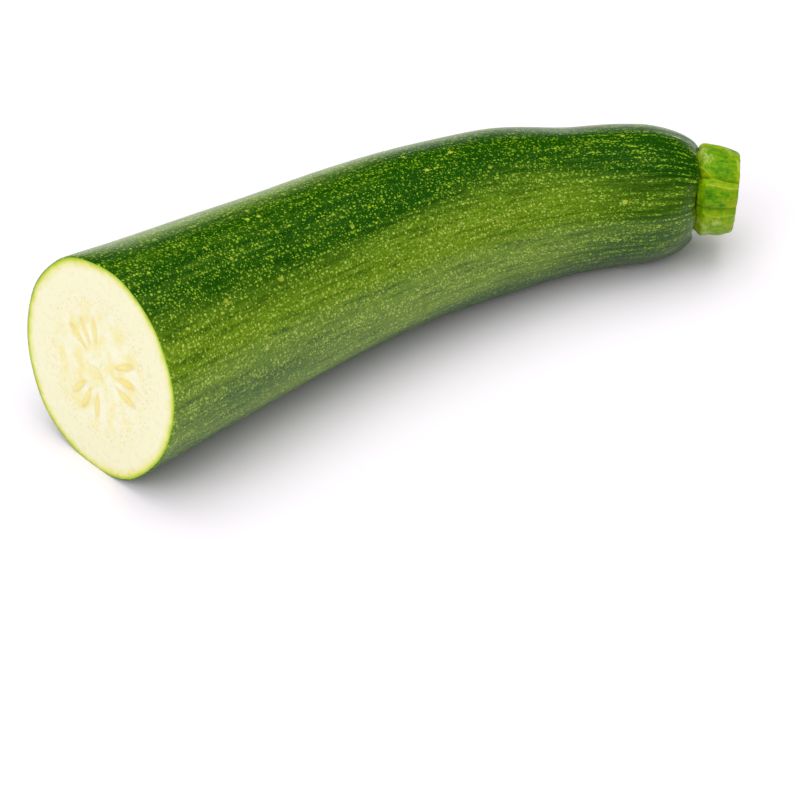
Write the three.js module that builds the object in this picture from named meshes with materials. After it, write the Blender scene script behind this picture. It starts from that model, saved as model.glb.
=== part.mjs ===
// The stalk end of a courgette that was cut across, lying on its side, with the stub of its stalk.
// Millimetres, +Z up. +X runs from the cut face to the stalk, and the origin is on the surface that
// the courgette lies on, under the middle of its box.
import * as THREE from "three";
import { mergeVertices } from "three/addons/utils/BufferGeometryUtils.js";

// The centreline as seen from above: a Bezier curve from the middle of the cut face to the shoulder.
const CENTRELINE_PLAN = [
  [-77.27, -6.68],
  [-24.90, 5.72],
  [29.70, 22.82],
  [73.60, -1.68],
];

// Radii of the fruit at even steps from the cut face to where the shoulder starts to round off.
const BODY_RADII = [24.0, 23.1, 22.0, 21.0, 20.3, 19.6, 18.5, 17.0, 16.1];
const SHOULDER_LENGTH = 13.5; // from the end of the body to the rim around the stalk
const SHOULDER_POWER = 1.6; // 2 would be an ellipse, and less is more sloping
const RIM_RADIUS = 10.3; // crest of the shoulder, around the stalk
const REST_SINK = 0.8; // how much of the underside is pressed flat where it lies

// Soft lengthwise ribs, as a share of the radius.
const RIB_COUNT = 5;
const RIB_TURN = 0.5; // radians
const RIB_SHARE_AT_CUT = 0.011;
const RIB_SHARE_IN_BODY = 0.008;
const RIB_SHARE_AT_SHOULDER = 0.02;

// Broad swells and hollows of its side, as [distance from the cut, degrees from the courgette's left
// side upwards, reach along it, reach in degrees, height].
const SIDE_SWELLS = [
  [0, 60, 9, 20, 0.6],
  [0, 0, 9, 20, 0.3],
  [90, 52, 14, 30, -0.2],
  [111, 55, 9, 35, 0.5],
  [127, 55, 6, 30, -0.35],
  [106, 232, 12, 35, 0.5],
];

// The rim around the stalk is drawn back towards the cut on the courgette's right side.
const RIM_DIP = 0.8;
const RIM_DIP_ANGLE = 200; // degrees
const RIM_DIP_REACH = 60; // degrees
const RIM_DIP_LENGTH = 6; // how far down the shoulder it is felt

// The knife went through a little off square.
const CUT_YAW = THREE.MathUtils.degToRad(-3);
const CUT_LEAN = THREE.MathUtils.degToRad(10.5);
const CUT_FADE_LENGTH = 45; // rings further from the cut than this are square to the centreline

// Young seeds in the cut face: three groups, each a fan of flat seeds that point at the middle.
const SEED_GROUP_ANGLES = [52, 172, 288]; // degrees, from the courgette's left side upwards
const SEED_GROUP_RADIUS = 8.8;
const SEED_FAN = [-22, 0, 21]; // degrees from the group's own angle
const SEED_LENGTH = 6.2;
const SEED_WIDTH = 2.4;
const SEED_SWELL = 0.35; // how far a seed stands out of the flesh

// The dimple in the shoulder that the stalk sits in, as [radius, depth below the rim].
const DIMPLE = [
  [9.9, 0.5],
  [9.0, 0.9],
  [5.0, 1.1],
];

// The stalk's side, as [radius, distance beyond the rim of the shoulder].
const STALK_PROFILE = [
  [5.0, -0.75],
  [8.8, -0.55],
  [9.45, -0.15],
  [9.8, 0.5],
  [10.4, 1.8],
  [10.6, 3.4],
  [10.4, 5.4],
  [9.9, 7.3],
  [9.45, 8.6],
  [9.0, 9.1],
  [8.0, 9.0],
  [6.0, 8.7],
  [3.0, 8.2],
];
const STALK_LENGTH = 9.1;
const STALK_END_RADIUS = 9.0;
const STALK_PITH_DEPTH = 1.1; // how far the middle of its cut end is sunk
const STALK_RISE = 0.7; // how far above the middle of the shoulder it sits
const STALK_BEND = 1.2; // how far its cut end has bent to the courgette's right
const STALK_GROOVES = [8, 66, 128, 169, 240, 312]; // degrees, from the courgette's left side upwards
const STALK_GROOVE_TWISTS = [0, 26, 2, -2, 0, 0]; // degrees, from its root to its cut end
const STALK_GROOVE_SHARE = 0.12; // depth as a share of the radius
const STALK_RIB_SQUARENESS = 0.4; // 1 would be a round rib, and less has flatter sides
const STALK_CUT_LEAN = THREE.MathUtils.degToRad(5);
const STALK_CUT_LEAN_TOWARDS = THREE.MathUtils.degToRad(40);

// Fineness of the faceted surface.
const FRUIT_SEGMENTS = 60;
const BODY_RINGS = 38;
const SHOULDER_RINGS = 8;
const STALK_SEGMENTS = 60;
const FACE_RINGS = [2.5, 4.6, 5.8, 7.0, 8.2, 9.4, 10.6, 11.8, 13.0, 16.5, 20.5];

const centreline = new THREE.CubicBezierCurve3(
  ...CENTRELINE_PLAN.map(([x, y]) => new THREE.Vector3(x, y, 0)),
);
const LENGTH = centreline.getLength();
const BODY_LENGTH = LENGTH - SHOULDER_LENGTH;

const smoothstep = THREE.MathUtils.smoothstep;

// A smooth curve through values at even steps, read at t from 0 to 1.
function throughSteps(values, t) {
  const last = values.length - 1;
  const place = THREE.MathUtils.clamp(t, 0, 1) * last;
  const i = Math.min(Math.floor(place), last - 1);
  const f = place - i;
  const [a, b] = [values[i], values[i + 1]];
  const before = i > 0 ? values[i - 1] : 2 * a - b;
  const after = i + 2 <= last ? values[i + 2] : 2 * b - a;
  const [slopeA, slopeB] = [(b - before) / 2, (after - a) / 2];
  const f2 = f * f;
  const f3 = f2 * f;
  return (
    a * (2 * f3 - 3 * f2 + 1) +
    slopeA * (f3 - 2 * f2 + f) +
    b * (3 * f2 - 2 * f3) +
    slopeB * (f3 - f2)
  );
}

// The fruit's plain radius at a distance s from the cut face.
function bodyRadius(s) {
  if (s <= BODY_LENGTH) return throughSteps(BODY_RADII, s / BODY_LENGTH);
  const share = Math.min((s - BODY_LENGTH) / SHOULDER_LENGTH, 1);
  const fall = (1 - share ** SHOULDER_POWER) ** (1 / SHOULDER_POWER);
  return RIM_RADIUS + (BODY_RADII.at(-1) - RIM_RADIUS) * fall;
}

// Height of the centreline: the fruit lies on its underside from the cut to the shoulder.
const axisHeight = (s) => bodyRadius(Math.min(s, BODY_LENGTH)) - REST_SINK;

// The ribs' share of the radius, at an angle round the fruit and a distance from the cut.
function ribShare(angle, s) {
  const nearCut = 1 - smoothstep(s, 0, BODY_LENGTH * 0.4);
  const nearStalk = smoothstep(s, BODY_LENGTH * 0.6, LENGTH);
  const share =
    RIB_SHARE_IN_BODY +
    (RIB_SHARE_AT_CUT - RIB_SHARE_IN_BODY) * nearCut +
    (RIB_SHARE_AT_SHOULDER - RIB_SHARE_IN_BODY) * nearStalk;
  const wave = RIB_COUNT * (angle - RIB_TURN);
  return share * (0.7 * Math.cos(wave) + 0.3 * Math.cos(2 * wave + 1));
}

// How far an angle is from one in degrees, from -180 to 180.
function degreesFrom(angle, degrees) {
  return THREE.MathUtils.euclideanModulo(THREE.MathUtils.radToDeg(angle) - degrees + 180, 360) - 180;
}

// How far the side stands out over the ribbed tube, at an angle and a distance from the cut.
function sideSwell(angle, s) {
  let swell = 0;
  for (const [at, degrees, reach, reachDegrees, height] of SIDE_SWELLS) {
    const along = (s - at) / reach;
    const around = degreesFrom(angle, degrees) / reachDegrees;
    swell += height * Math.exp(-(along ** 2) - around ** 2);
  }
  return swell;
}

// How far the rim around the stalk and the dimple's edge are drawn back.
function rimDip(angle, radius, s) {
  const around = degreesFrom(angle, RIM_DIP_ANGLE) / RIM_DIP_REACH;
  const nearRim = smoothstep(s, LENGTH - RIM_DIP_LENGTH, LENGTH) * smoothstep(radius, 5, RIM_RADIUS);
  return RIM_DIP * Math.exp(-(around ** 4)) * nearRim;
}

// How far the cut face is pushed out at an angle and radius, by the seeds under it.
function seedSwell(angle, radius) {
  let swell = 0;
  for (const group of SEED_GROUP_ANGLES)
    for (const turn of SEED_FAN) {
      const middle = THREE.MathUtils.degToRad(group + turn);
      const along = (radius * Math.cos(angle - middle) - SEED_GROUP_RADIUS) / (SEED_LENGTH / 2);
      const across = (radius * Math.sin(angle - middle)) / (SEED_WIDTH / 2);
      swell += SEED_SWELL * Math.exp(-2 * (along ** 4 + across ** 4));
    }
  return swell;
}

// A point beside the centreline: s along it, out from it by a radius at an angle that starts on the
// courgette's left and goes up.
function besideCentreline(s, radius, angle) {
  const u = THREE.MathUtils.clamp(s / LENGTH, 0, 1);
  const ahead = centreline.getTangentAt(u);
  const left = new THREE.Vector3(-ahead.y, ahead.x, 0);
  const point = centreline.getPointAt(u).addScaledVector(ahead, s - u * LENGTH);
  point.z = axisHeight(s) + radius * Math.sin(angle);
  return point.addScaledVector(left, radius * Math.cos(angle));
}

// A lathe blank whose height is the distance along the centreline, bent by a function that takes
// each point's radius, angle and distance and gives its place.
function bentLathe(profile, segments, place) {
  const points = profile.map(([radius, s]) => new THREE.Vector2(radius, s));
  const blank = new THREE.LatheGeometry(points, segments);
  blank.deleteAttribute("normal");
  blank.deleteAttribute("uv");
  const geometry = mergeVertices(blank, 1e-4);
  const position = geometry.attributes.position;
  for (let i = 0; i < position.count; i++) {
    const [x, s, z] = [position.getX(i), position.getY(i), position.getZ(i)];
    const moved = place(Math.hypot(x, z), Math.atan2(-z, x), s);
    position.setXYZ(i, moved.x, moved.y, moved.z);
  }
  geometry.computeVertexNormals();
  return geometry;
}

// The fruit's outline from the middle of the cut face, along its side and into the dimple.
function fruitProfile() {
  const outline = [[0, 0], ...FACE_RINGS.map((r) => [r, 0])];
  for (let i = 0; i <= BODY_RINGS; i++) {
    const s = (BODY_LENGTH * i) / BODY_RINGS;
    outline.push([bodyRadius(s), s]);
  }
  for (let i = 1; i <= SHOULDER_RINGS; i++) {
    const s = BODY_LENGTH + SHOULDER_LENGTH * Math.sin((Math.PI / 2) * (i / SHOULDER_RINGS));
    outline.push([bodyRadius(s), s]);
  }
  for (const [radius, depth] of DIMPLE) outline.push([radius, LENGTH - depth]);
  outline.push([0, LENGTH - DIMPLE.at(-1)[1]]);
  return outline;
}

function placeOnFruit(radius, angle, s) {
  const onFace = s === 0;
  const edgeShare = onFace ? radius / BODY_RADII[0] : 1;
  const ribbed = radius * (1 + ribShare(angle, s) * edgeShare) + sideSwell(angle, s) * edgeShare ** 2;
  const lean = Math.cos(angle) * Math.tan(CUT_YAW) + Math.sin(angle) * Math.tan(CUT_LEAN);
  const fade = 1 - smoothstep(s, 0, CUT_FADE_LENGTH);
  const back = onFace ? seedSwell(angle, radius) : rimDip(angle, radius, s);
  const point = besideCentreline(s + ribbed * lean * fade - back, ribbed, angle);
  point.z = Math.max(point.z, 0);
  return point;
}

// The stalk's radius shrinks into the grooves between its ribs.
function grooveShare(angle, s) {
  const along = THREE.MathUtils.clamp((s - LENGTH) / STALK_LENGTH, 0, 1);
  const turn = THREE.MathUtils.euclideanModulo(THREE.MathUtils.radToDeg(angle), 360);
  const grooves = STALK_GROOVES.map((g, i) => g + STALK_GROOVE_TWISTS[i] * along);
  const next = grooves.findIndex((g) => g > turn);
  const end = next < 0 ? grooves[0] + 360 : grooves[next];
  const start = next < 0 ? grooves.at(-1) : next === 0 ? grooves.at(-1) - 360 : grooves[next - 1];
  const t = (turn - start) / (end - start);
  return STALK_GROOVE_SHARE * (1 - (4 * t * (1 - t)) ** STALK_RIB_SQUARENESS);
}

function placeOnStalk(radius, angle, s) {
  const ribbed = radius * (1 - grooveShare(angle, s) * smoothstep(radius, 2, STALK_END_RADIUS));
  const along = smoothstep(s, LENGTH, LENGTH + STALK_LENGTH);
  const lean = Math.cos(angle - STALK_CUT_LEAN_TOWARDS) * Math.tan(STALK_CUT_LEAN);
  const point = besideCentreline(s + ribbed * lean * along, ribbed, angle);
  const ahead = centreline.getTangentAt(1);
  point.x += STALK_BEND * along * ahead.y;
  point.y -= STALK_BEND * along * ahead.x;
  point.z += STALK_RISE;
  return point;
}

function makeFruit() {
  const mesh = new THREE.Mesh(
    bentLathe(fruitProfile(), FRUIT_SEGMENTS, placeOnFruit),
    new THREE.MeshStandardMaterial({ color: 0x3f6b1c, roughness: 0.38, metalness: 0 }),
  );
  mesh.name = "fruit";
  return mesh;
}

function makeStalk() {
  const side = STALK_PROFILE.map(([radius, beyond]) => [radius, LENGTH + beyond]);
  const root = [0, LENGTH + STALK_PROFILE[0][1]];
  const pith = [0, LENGTH + STALK_LENGTH - STALK_PITH_DEPTH];
  const mesh = new THREE.Mesh(
    bentLathe([root, ...side, pith], STALK_SEGMENTS, placeOnStalk),
    new THREE.MeshStandardMaterial({ color: 0x8fb52c, roughness: 0.5, metalness: 0 }),
  );
  mesh.name = "stalk";
  return mesh;
}

const courgette = new THREE.Group();
courgette.add(makeFruit(), makeStalk());

export default courgette;
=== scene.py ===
"""The looks of a cut courgette: flecked skin, a moist cut face and the ribbed stub of its stalk.

The scene is in metres, +Z up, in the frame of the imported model. The plant's own sizes are in
millimetres, and MM turns them into metres where a vertex gets its place. Three directions describe
a point of the plant: along the line down its middle from the cut face, out from that line, and an
angle round it that starts on the courgette's left and goes up.
"""

import logging
import math
from bisect import bisect_left
from dataclasses import dataclass, field
from enum import Enum
from functools import cached_property
from typing import TypeVar

import bmesh
import bpy
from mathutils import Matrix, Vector, noise


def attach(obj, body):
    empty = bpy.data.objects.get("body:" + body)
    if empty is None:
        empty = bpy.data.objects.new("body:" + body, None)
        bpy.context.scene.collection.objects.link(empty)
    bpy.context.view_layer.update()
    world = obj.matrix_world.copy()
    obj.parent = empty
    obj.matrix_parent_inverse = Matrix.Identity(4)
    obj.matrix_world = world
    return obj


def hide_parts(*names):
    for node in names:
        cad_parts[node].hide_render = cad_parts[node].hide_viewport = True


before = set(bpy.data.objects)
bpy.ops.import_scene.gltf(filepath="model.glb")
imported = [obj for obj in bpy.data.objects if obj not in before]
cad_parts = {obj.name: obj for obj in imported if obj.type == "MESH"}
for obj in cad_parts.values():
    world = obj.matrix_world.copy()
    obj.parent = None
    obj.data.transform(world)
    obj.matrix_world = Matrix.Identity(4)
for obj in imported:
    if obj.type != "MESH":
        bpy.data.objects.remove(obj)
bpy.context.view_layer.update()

MM = 0.001
WHITE = (1.0, 1.0, 1.0, 1.0)
Place = TypeVar("Place", float, Vector)
log = logging.getLogger("courgette")


class Surface(Enum):
    """The finishes that one grown piece can show, by their place in its list of materials."""

    SKIN = 0
    FLESH = 1


class Slot(Enum):
    """The record's material slots that the pieces take their finish from."""

    SKIN = "skin"
    STALK = "stalk"


def linear(hex_colour: str) -> tuple[float, float, float, float]:
    """Turns an sRGB hex colour into a linear one.

    Args:
        hex_colour: Six hex digits, such as "f6f4c8".

    Returns:
        Red, green, blue and a full alpha.
    """
    shares = [int(hex_colour[i : i + 2], 16) / 255 for i in (0, 2, 4)]
    red, green, blue = (c / 12.92 if c <= 0.04045 else ((c + 0.055) / 1.055) ** 2.4 for c in shares)
    return red, green, blue, 1.0


def per_mm(*sizes: float) -> tuple[float, ...]:
    """Turns the sizes of a pattern's repeat, in millimetres, into scales for a millimetre attribute."""
    return tuple(1 / size for size in sizes)


def smoothstep(value: float, low: float, high: float) -> float:
    """Rises smoothly from 0 at low to 1 at high."""
    share = min(max((value - low) / (high - low), 0.0), 1.0)
    return share * share * (3 - 2 * share)


def wrapped(degrees: float) -> float:
    """Brings an angle in degrees between -180 and 180."""
    return (degrees + 180) % 360 - 180


def degrees_from(angle: float, degrees: float) -> float:
    """How far an angle in radians is from one in degrees, from -180 to 180."""
    return wrapped(math.degrees(angle) - degrees)


def on_curve(start: Place, end: Place, leaving: Place, arriving: Place, share: float) -> Place:
    """Finds a place on the smooth curve between two places.

    Args:
        start: Where the curve starts.
        end: Where it ends.
        leaving: Its slope at the start.
        arriving: Its slope at the end.
        share: How far along it the place is, from 0 to 1.

    Returns:
        The place, a number or a point as the others are.
    """
    square, cube = share**2, share**3
    return (
        start * (2 * cube - 3 * square + 1)
        + leaving * (cube - 2 * square + share)
        + end * (3 * square - 2 * cube)
        + arriving * (cube - square)
    )


def direction(azimuth: float, elevation: float) -> Vector:
    """The direction from the courgette to something seen at an azimuth and an elevation."""
    level = math.cos(elevation)
    return Vector((level * math.cos(azimuth), level * math.sin(azimuth), math.sin(elevation)))


def add_object(name: str, data: bpy.types.ID) -> bpy.types.Object:
    """Puts a mesh, a lamp or a camera into the scene."""
    added = bpy.data.objects.new(name, data)
    bpy.context.scene.collection.objects.link(added)
    return added


def swirl(x: float, y: float, z: float, seed: float) -> float:
    """Smooth noise from about -1 to 1 at a point, different for each seed."""
    return noise.noise(Vector((x + 7.3 * seed, y - 3.1 * seed, z + 11.7 * seed)))


def add_node(
    tree: bpy.types.NodeTree,
    kind: str,
    inputs: dict[str | int, object] | None = None,
    stops: tuple[tuple[float, str], ...] = (),
    **settings: object,
) -> bpy.types.Node:
    """Adds a node with its settings and links.

    Args:
        tree: The material's nodes.
        kind: The node's type name.
        inputs: A value or another node's output for each input, by its name or number.
        stops: Places and hex colours of a colour ramp.
        settings: The node's own properties.

    Returns:
        The new node.
    """
    node = tree.nodes.new(kind)
    for name, value in settings.items():
        setattr(node, name, value)
    for name, value in (inputs or {}).items():
        if isinstance(value, bpy.types.NodeSocket):
            tree.links.new(value, node.inputs[name])
        else:
            node.inputs[name].default_value = value
    for number, (place, colour) in enumerate(stops):
        ramp = node.color_ramp.elements
        stop = ramp[number] if number < 2 else ramp.new(place)
        stop.position = place
        stop.color = linear(colour)
    return node


def read_parts(tree: bpy.types.NodeTree, name: str) -> tuple[bpy.types.NodeSocket, ...]:
    """Reads the three numbers that a mesh's attribute holds at each point."""
    held = add_node(tree, "ShaderNodeAttribute", attribute_name=name).outputs["Vector"]
    return tuple(add_node(tree, "ShaderNodeSeparateXYZ", {0: held}).outputs)


def drawn_noise(
    tree: bpy.types.NodeTree, place: bpy.types.NodeSocket, sizes: tuple[float, float, float], detail: float
) -> bpy.types.NodeSocket:
    """Makes noise that is drawn out along the plant.

    Args:
        tree: The material's nodes.
        place: The place on the plant, in millimetres.
        sizes: How far the noise repeats in each direction, in millimetres.
        detail: How many times finer noise is added.

    Returns:
        The noise, from 0 to 1.
    """
    scaled = add_node(tree, "ShaderNodeMapping", {"Vector": place, "Scale": per_mm(*sizes)}).outputs[0]
    drawn = add_node(tree, "ShaderNodeTexNoise", {"Vector": scaled, "Scale": 1.0, "Detail": detail})
    return drawn.outputs["Fac"]


def paint(
    tree: bpy.types.NodeTree,
    ground: bpy.types.NodeSocket,
    layers: tuple[tuple[bpy.types.NodeSocket, str | bpy.types.NodeSocket], ...],
) -> bpy.types.NodeSocket:
    """Lays tints over a colour, each where its mask shows.

    Args:
        tree: The material's nodes.
        ground: The colour underneath.
        layers: Each layer's mask, and its tint as a hex colour or another node's output.

    Returns:
        The painted colour.
    """
    for mask, tint in layers:
        over = linear(tint) if isinstance(tint, str) else tint
        ground = add_node(tree, "ShaderNodeMix", {0: mask, 6: ground, 7: over}, data_type="RGBA").outputs[2]
    return ground


@dataclass(frozen=True)
class SoftPlace:
    """A soft-edged swell, hollow or darker patch: its place and reach, and how much it is there."""

    along: float
    angle: float
    reach_along: float
    reach_angle: float
    amount: float

    def at(self, angle: float, along: float) -> float:
        """How much of it there is at a point, an angle in radians and a distance along the plant."""
        ahead = (along - self.along) / self.reach_along
        around = degrees_from(angle, self.angle) / self.reach_angle
        return self.amount * math.exp(-ahead * ahead - around * around)


@dataclass(frozen=True)
class Growth:
    """How the courgette grew: the line down its middle, its thickness and its ribs."""

    plan: tuple[tuple[float, float], ...] = (
        (-77.27, -6.68),
        (-24.90, 5.72),
        (29.70, 22.82),
        (73.60, -1.68),
    )
    radii: tuple[float, ...] = (24.0, 23.1, 22.0, 21.0, 20.3, 19.6, 18.5, 17.0, 16.1)
    shoulder_length: float = 13.5
    shoulder_power: float = 1.6
    rim_radius: float = 10.3
    rest_sink: float = 0.8
    rib_count: int = 5
    rib_turn: float = 0.5
    rib_share_at_cut: float = 0.011
    rib_share_in_body: float = 0.008
    rib_share_at_shoulder: float = 0.02
    swells: tuple[SoftPlace, ...] = (
        SoftPlace(along=0, angle=60, reach_along=9, reach_angle=20, amount=0.6),
        SoftPlace(along=0, angle=0, reach_along=9, reach_angle=20, amount=0.3),
        SoftPlace(along=90, angle=52, reach_along=14, reach_angle=30, amount=-0.2),
        SoftPlace(along=111, angle=55, reach_along=9, reach_angle=35, amount=0.5),
        SoftPlace(along=127, angle=55, reach_along=6, reach_angle=30, amount=-0.35),
        SoftPlace(along=106, angle=232, reach_along=12, reach_angle=35, amount=0.5),
    )
    rim_dip: float = 0.8
    rim_dip_angle: float = 200.0
    rim_dip_reach: float = 60.0
    rim_dip_length: float = 6.0
    measuring_steps: int = 1500

    @cached_property
    def stations(self) -> list[tuple[float, Vector, Vector]]:
        """Distance, point and direction at even steps of the plan's Bezier curve."""
        a, b, c, d = (Vector((x, y, 0)) for x, y in self.plan)
        found: list[tuple[float, Vector, Vector]] = []
        for i in range(self.measuring_steps + 1):
            t = i / self.measuring_steps
            u = 1 - t
            point = u**3 * a + 3 * u * u * t * b + 3 * u * t * t * c + t**3 * d
            ahead = (u * u * (b - a) + 2 * u * t * (c - b) + t * t * (d - c)).normalized()
            before = found[-1][0] + (point - found[-1][1]).length if found else 0.0
            found.append((before, point, ahead))
        return found

    @cached_property
    def length(self) -> float:
        """Length of the middle line from the cut face to the rim round the stalk."""
        return self.stations[-1][0]

    @property
    def body_length(self) -> float:
        """Length of the middle line from the cut face to where the shoulder starts."""
        return self.length - self.shoulder_length

    def station(self, along: float) -> tuple[Vector, Vector]:
        """Finds a place on the middle line.

        Args:
            along: Distance from the cut face. Past either end the line runs on straight.

        Returns:
            The point in plan and the direction ahead.
        """
        inside = min(max(along, 0.0), self.length)
        i = min(max(bisect_left(self.stations, inside, key=lambda s: s[0]), 1), self.measuring_steps)
        (s0, p0, a0), (s1, p1, a1) = self.stations[i - 1], self.stations[i]
        share = (inside - s0) / (s1 - s0)
        ahead = a0.lerp(a1, share).normalized()
        return p0.lerp(p1, share) + ahead * (along - inside), ahead

    def radius(self, along: float) -> float:
        """The fruit's plain radius at a distance from the cut face."""
        if along <= self.body_length:
            last = len(self.radii) - 1
            place = min(max(along / self.body_length, 0.0), 1.0) * last
            i = min(int(place), last - 1)
            a, b = self.radii[i], self.radii[i + 1]
            before = self.radii[i - 1] if i > 0 else 2 * a - b
            after = self.radii[i + 2] if i + 2 <= last else 2 * b - a
            return on_curve(a, b, (b - before) / 2, (after - a) / 2, place - i)
        share = min((along - self.body_length) / self.shoulder_length, 1.0)
        fall = (1 - share**self.shoulder_power) ** (1 / self.shoulder_power)
        return self.rim_radius + (self.radii[-1] - self.rim_radius) * fall

    def rib_share(self, angle: float, along: float) -> float:
        """How much the ribs add to the radius, as a share of it."""
        near_cut = 1 - smoothstep(along, 0, self.body_length * 0.4)
        near_stalk = smoothstep(along, self.body_length * 0.6, self.length)
        share = (
            self.rib_share_in_body
            + (self.rib_share_at_cut - self.rib_share_in_body) * near_cut
            + (self.rib_share_at_shoulder - self.rib_share_in_body) * near_stalk
        )
        wave = self.rib_count * (angle - self.rib_turn)
        return share * (0.7 * math.cos(wave) + 0.3 * math.cos(2 * wave + 1))

    def side_swell(self, angle: float, along: float) -> float:
        """How far the side stands out over the ribbed tube."""
        return sum(swell.at(angle, along) for swell in self.swells)

    def dip(self, angle: float, out: float, along: float) -> float:
        """How far the rim round the stalk and the dimple's edge are drawn back."""
        around = degrees_from(angle, self.rim_dip_angle) / self.rim_dip_reach
        near_rim = smoothstep(along, self.length - self.rim_dip_length, self.length)
        return self.rim_dip * math.exp(-(around**4)) * near_rim * smoothstep(out, 5, self.rim_radius)

    def beside(self, along: float, out: float, angle: float) -> Vector:
        """Finds a point of the plant.

        Args:
            along: Distance from the cut face.
            out: Distance from the middle line.
            angle: Angle round the middle line.

        Returns:
            The point, in millimetres.
        """
        point, ahead = self.station(along)
        left = Vector((-ahead.y, ahead.x, 0))
        height = self.radius(min(along, self.body_length)) - self.rest_sink
        return point + left * (out * math.cos(angle)) + Vector((0, 0, height + out * math.sin(angle)))


@dataclass(frozen=True)
class Seed:
    """One flat young seed in the cut face, seen edge on, which points at the middle."""

    angle: float
    radius: float
    length: float
    width: float

    def reach(self, x: float, y: float) -> tuple[float, float]:
        """How far a point of the face is from the seed's middle, in seeds' half lengths and widths."""
        along = x * math.cos(self.angle) + y * math.sin(self.angle) - self.radius
        across = y * math.cos(self.angle) - x * math.sin(self.angle)
        taper = 1 - 0.35 * min(max(-along / self.length + 0.5, 0.0), 1.0)
        return along / (self.length / 2), across / (self.width / 2 * taper)


@dataclass
class CutFace:
    """The flat face that the knife left, with its relief."""

    yaw: float = math.radians(-3)
    lean: float = math.radians(10.5)
    fade_length: float = 45.0
    group_angles: tuple[float, ...] = (52, 172, 288)
    fan: tuple[float, ...] = (-22, 0, 21)
    seed_radius: float = 8.8
    seed_length: float = 6.0
    seed_width: float = 1.9
    seed_swell: float = 0.14
    seed_groove: float = 0.03
    star_groove: float = 0.06
    ring_share: float = 0.63
    ring_width: float = 0.1
    pulp_sink: float = 0.1
    pulp_grain: float = 0.03
    star_reach: float = 3.4

    @cached_property
    def seeds(self) -> list[Seed]:
        """The seeds, each a little off its even place."""
        found = []
        for i, group in enumerate(self.group_angles):
            for j, turn in enumerate(self.fan):
                angle = math.radians(group + turn + 2.5 * swirl(i, j, 0.5, 1))
                radius = self.seed_radius + 0.7 * swirl(i, j, 0.5, 2)
                length = self.seed_length * (1 + 0.15 * swirl(i, j, 0.5, 3))
                found.append(Seed(angle, radius, length, self.seed_width))
        return found

    def slant(self, angle: float, along: float) -> float:
        """How far ahead the slanted cut pushes a ring, for each millimetre out from the middle."""
        fade = 1 - smoothstep(along, 0, self.fade_length)
        return fade * (math.cos(angle) * math.tan(self.yaw) + math.sin(angle) * math.tan(self.lean))

    def marks(self, x: float, y: float) -> tuple[float, float, float]:
        """What is drawn on the face at a point: a seed's body, a seed's edge and the middle star."""
        body = edge = 0.0
        for seed in self.seeds:
            along, across = seed.reach(x, y)
            reach = math.hypot(along, across)
            body = max(body, 1 - smoothstep(reach, 0.6, 1.15))
            edge = max(edge, smoothstep(reach, 0.5, 0.85) * (1 - smoothstep(reach, 0.9, 1.3)))
        out = math.hypot(x, y)
        arms = abs(math.cos(1.5 * (math.atan2(y, x) - math.radians(112))))
        star = smoothstep(arms, 0.93, 1.0) * (1 - smoothstep(out, self.star_reach * 0.4, self.star_reach))
        return body, edge, star

    def zones(self, x: float, y: float, edge_radius: float) -> tuple[float, float, float]:
        """Where a point of the face lies: on the faint ring, in the pulp inside it, near the edge."""
        share = math.hypot(x, y) / edge_radius + 0.03 * swirl(x / 5, y / 5, 0, 4)
        ring = math.exp(-(((share - self.ring_share) / self.ring_width) ** 2))
        pulp = 1 - smoothstep(share, self.ring_share - 0.15, self.ring_share + 0.05)
        return ring, pulp, smoothstep(share, 0.8, 1.0)

    def relief(self, x: float, y: float, edge_radius: float) -> float:
        """How far a point of the face stands out towards the knife."""
        body, edge, star = self.marks(x, y)
        pulp = self.zones(x, y, edge_radius)[1]
        grain = self.pulp_grain * (swirl(x / 1.4, y / 1.4, 0, 5) + 0.6 * swirl(x / 0.7, y / 0.7, 0, 6))
        sunk = self.pulp_sink * pulp * (0.6 + 0.4 * swirl(x / 3, y / 3, 0, 7))
        drawn = self.seed_swell * body - self.seed_groove * edge - self.star_groove * star
        return drawn - sunk + grain * (0.1 + 0.9 * pulp)


def spun_blank(outline: list[tuple[float, float]], segments: int) -> bmesh.types.BMesh:
    """Spins an outline about Z into a straight closed blank.

    Args:
        outline: Distances from the axis and along it, from pole to pole.
        segments: Steps of the full turn.

    Returns:
        The blank, with its faces pointing out.
    """
    blank = bmesh.new()
    verts = [blank.verts.new((out, 0, along)) for out, along in outline]
    edges = [blank.edges.new(pair) for pair in zip(verts, verts[1:])]
    bmesh.ops.spin(
        blank,
        geom=verts + edges,
        cent=(0, 0, 0),
        axis=(0, 0, 1),
        angle=math.tau,
        steps=segments,
        use_merge=True,
    )
    bmesh.ops.remove_doubles(blank, verts=blank.verts, dist=1e-4)
    bmesh.ops.recalc_face_normals(blank, faces=blank.faces)
    return blank


def finish_piece(
    name: str,
    shape: bmesh.types.BMesh,
    materials: list[bpy.types.Material],
    slot: Slot,
    replaced: str,
) -> bpy.types.Object:
    """Turns a finished shape into a piece of the courgette.

    Args:
        name: The piece's name.
        shape: Its mesh, which is freed.
        materials: Its finishes, in the order of its faces' numbers.
        slot: The record's slot that it takes its finish from, which is only logged here.
        replaced: The CAD node that it stands for.

    Returns:
        The piece.
    """
    data = bpy.data.meshes.new(name)
    bmesh.ops.recalc_face_normals(shape, faces=shape.faces)
    shape.to_mesh(data)
    shape.free()
    for material in materials:
        data.materials.append(material)
    piece = add_object(name, data)
    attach(piece, "root")
    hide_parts(replaced)
    triangles = sum(len(polygon.vertices) - 2 for polygon in data.polygons)
    log.info("%s: %d triangles, slot %s", name, triangles, slot.value)
    return piece


@dataclass(frozen=True)
class Stripe:
    """A paler lengthwise stripe of the skin: its middle and half its width, in degrees."""

    middle: float
    reach: float
    paleness: float


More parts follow.
